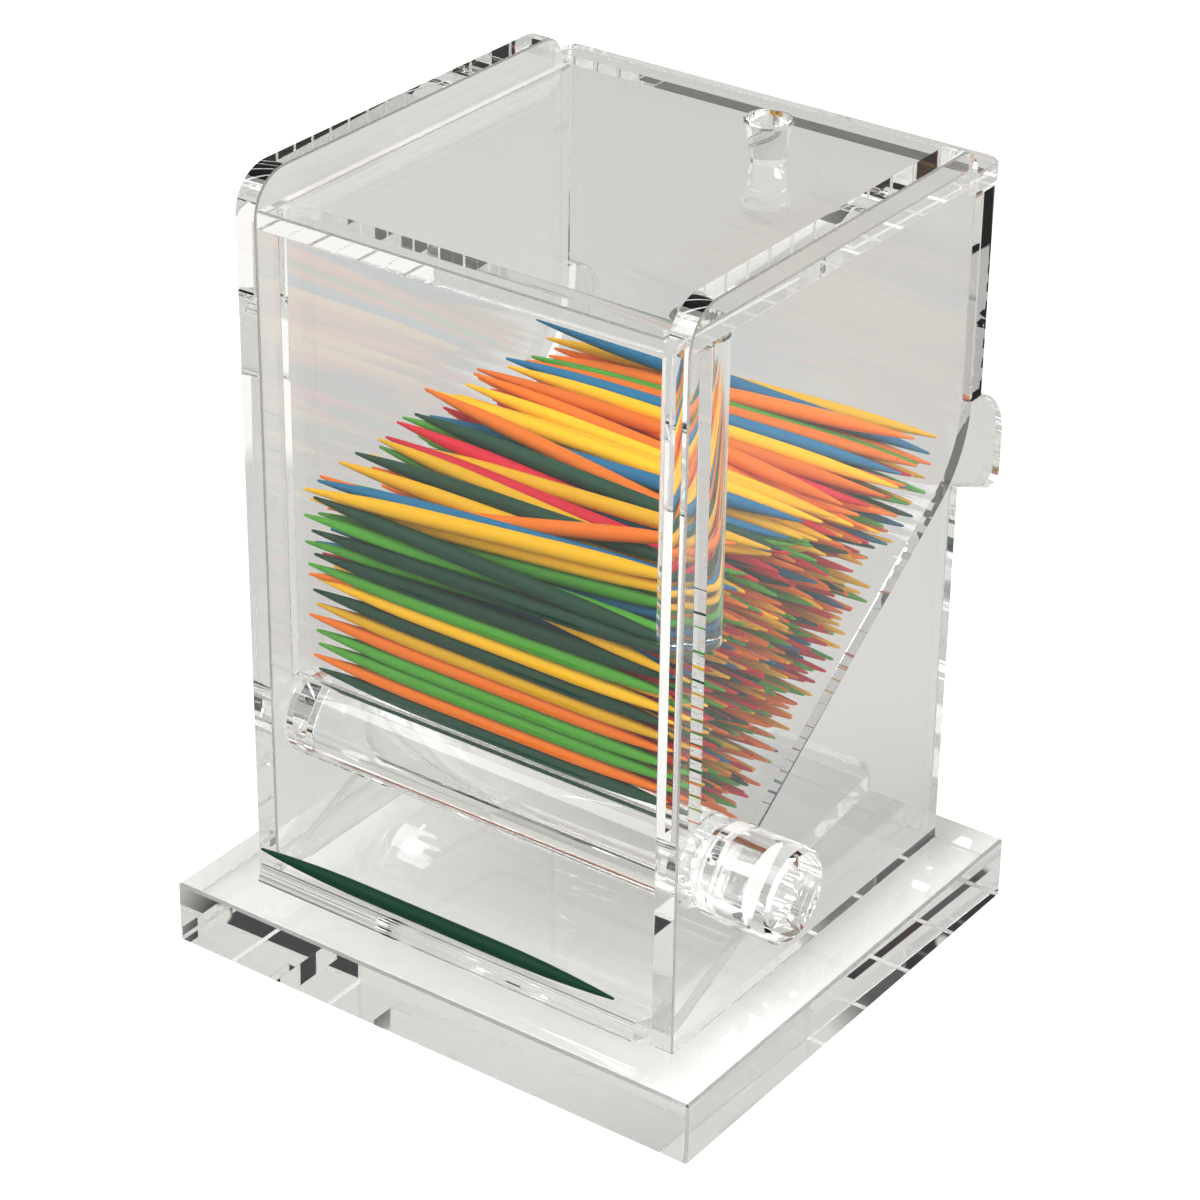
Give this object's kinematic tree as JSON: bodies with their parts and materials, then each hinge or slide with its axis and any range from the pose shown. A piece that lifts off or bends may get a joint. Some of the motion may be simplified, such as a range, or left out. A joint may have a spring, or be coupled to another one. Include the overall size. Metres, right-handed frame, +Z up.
{
  "type": "toothpick dispenser",
  "caption": "Clear box on a thick base that holds coloured toothpicks; a turned roller below its front panel hands one out onto a tray, and the lid lifts off.",
  "frame": {"origin": "middle of the base plate's flat underside", "axes": "+Z up, -Y to the front where the picks come out, +X towards the roller's knob"},
  "size_m": [0.0983, 0.0921, 0.1268],
  "materials": {
    "clear_acrylic": "polished clear",
    "pick_yellow": "dyed, matt",
    "pick_orange": "dyed, matt",
    "pick_red": "dyed, matt",
    "pick_green": "dyed, matt",
    "pick_blue": "dyed, matt",
    "pick_dark_green": "dyed, matt"
  },
  "bodies": {
    "box": {"base_plate": "clear_acrylic", "left_side_wall": "clear_acrylic", "right_side_wall": "clear_acrylic", "front_panel": "clear_acrylic", "right_corner_post": "clear_acrylic", "back_and_ramp": "clear_acrylic", "delivery_tray": "clear_acrylic", "dispensed_pick": "pick_dark_green", "picks_yellow": "pick_yellow", "picks_orange": "pick_orange", "picks_red": "pick_red", "picks_green": "pick_green", "picks_blue": "pick_blue", "picks_dark_green": "pick_dark_green"},
    "lid": {"lid": "clear_acrylic", "lid_knob": "clear_acrylic"},
    "roller": {"pick_roller": "clear_acrylic", "roller_knob": "clear_acrylic", "roller_washer": "clear_acrylic"}
  },
  "joints": [
    {"name": "lid_lift", "type": "slide", "parent": "box", "child": "lid", "axis": [0, 0, 1], "range_m": [0, 0.03]},
    {"name": "roller_turn", "type": "hinge", "parent": "box", "child": "roller", "pos_m": [0, -0.0245, 0.0371], "axis": [1, 0, 0], "continuous": true}
  ]
}
